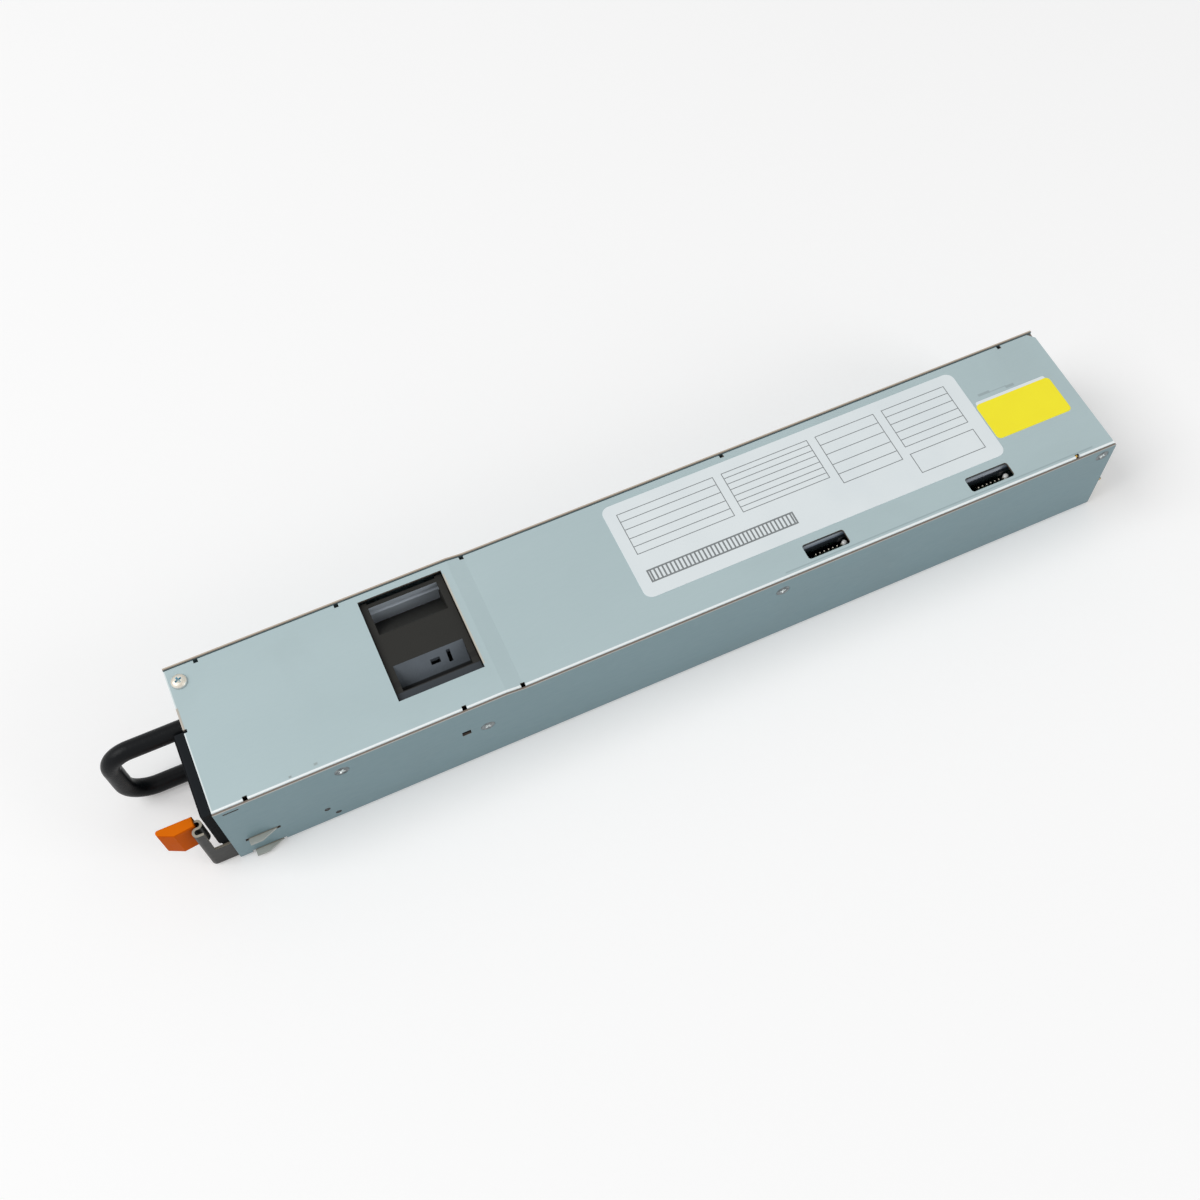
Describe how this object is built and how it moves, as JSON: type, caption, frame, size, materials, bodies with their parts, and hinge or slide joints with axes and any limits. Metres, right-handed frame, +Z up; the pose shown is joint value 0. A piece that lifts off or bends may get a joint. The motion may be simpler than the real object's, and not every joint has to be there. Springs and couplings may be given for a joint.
{
  "type": "hot swap server power supply",
  "caption": "Long sheet-steel power supply module for a server: stepped cover, fan, mains inlet in a black bezel, pull handle, sprung latch with orange button and gold card edge at the rear.",
  "frame": {"origin": "middle of the underside of the tray, on the surface that the supply lies on", "axes": "+X from the handle to the gold edge, the longest extent; +Z up out of the tray; +Y away from the latch side"},
  "size_m": [0.3581, 0.0566, 0.0395],
  "materials": {
    "cover_steel": "zinc-coated sheet steel, fine rolled grain, satin",
    "cover_steel_side": "zinc-coated sheet steel, satin",
    "black_moulding": "moulded black plastic, fine texture",
    "inlet_moulding": "moulded black thermoplastic",
    "contact_brass": "nickel-plated brass",
    "clear_light_pipe": "clear polycarbonate",
    "green_board": "glass epoxy board with solder mask",
    "lamp_resin": "clear resin lamps",
    "black_lacquer": "black powder coat, satin, on steel bar",
    "spring_steel": "bright spring steel with a raw cut edge",
    "orange_moulding": "moulded orange plastic, fine texture",
    "fan_moulding": "moulded glass-filled plastic, matt",
    "motor_iron": "stacked iron laminations with windings",
    "motor_shaft": "ground steel",
    "screw_zinc": "zinc-plated steel",
    "gold_contact": "gold plate over copper",
    "lead_sleeve": "flexible insulated wire",
    "fuse_ceramic": "white ceramic tube",
    "ferrite": "sintered ferrite",
    "copper_wire": "enamelled copper wire",
    "capacitor_case": "moulded plastic box",
    "relay_case": "moulded plastic box",
    "capacitor_sleeve": "shrink sleeve on an aluminium can",
    "sink_aluminium": "mill finish",
    "capacitor_can": "drawn can",
    "smoked_film": "blue-grey insulating film"
  },
  "bodies": {
    "housing": {"chassis_tray": "cover_steel_side", "top_cover": "cover_steel", "front_grille": "cover_steel_side", "front_bezel": "black_moulding", "ac_inlet": "inlet_moulding", "inlet_blades": "contact_brass", "status_lights": "clear_light_pipe", "lamp_board": "green_board", "status_lamps": "lamp_resin", "pull_handle": "black_lacquer", "fan_frame": "fan_moulding", "fan_stator": "motor_iron", "fan_bracket": "cover_steel_side", "rear_panel": "cover_steel_side", "side_screws": "screw_zinc", "top_screw": "screw_zinc", "main_board": "green_board", "edge_contacts": "gold_contact", "board_standoffs": "contact_brass", "board_screws": "screw_zinc", "ac_terminal": "black_moulding", "ac_leads": "lead_sleeve", "fuse": "fuse_ceramic", "emi_choke_cores": "ferrite", "emi_choke_windings": "copper_wire", "film_capacitors": "capacitor_case", "inrush_relay": "relay_case", "pfc_choke_core": "ferrite", "pfc_choke_winding": "copper_wire", "bulk_capacitor": "capacitor_sleeve", "primary_heatsink": "sink_aluminium", "power_devices": "black_moulding", "transformer_core": "ferrite", "transformer_winding": "copper_wire", "output_capacitors": "capacitor_can", "standby_core": "ferrite", "standby_winding": "copper_wire", "output_heatsink": "sink_aluminium", "control_board": "green_board", "control_parts": "black_moulding", "insulating_film": "smoked_film"},
    "latch": {"release_latch": "spring_steel", "release_button": "orange_moulding", "latch_rivets": "spring_steel"},
    "fan": {"fan_rotor": "fan_moulding", "fan_shaft": "motor_shaft"}
  },
  "joints": [
    {"name": "latch_press", "type": "hinge", "parent": "housing", "child": "latch", "pos_m": [-0.125, -0.02635, 0.0065], "axis": [0, 0, -1], "range_deg": [0, 5], "stiffness_Nm_per_rad": 2, "springref_deg": -5.73},
    {"name": "fan_spin", "type": "hinge", "parent": "housing", "child": "fan", "pos_m": [-0.0817, 0.00425, 0.0185], "axis": [1, 0, 0], "continuous": true}
  ]
}
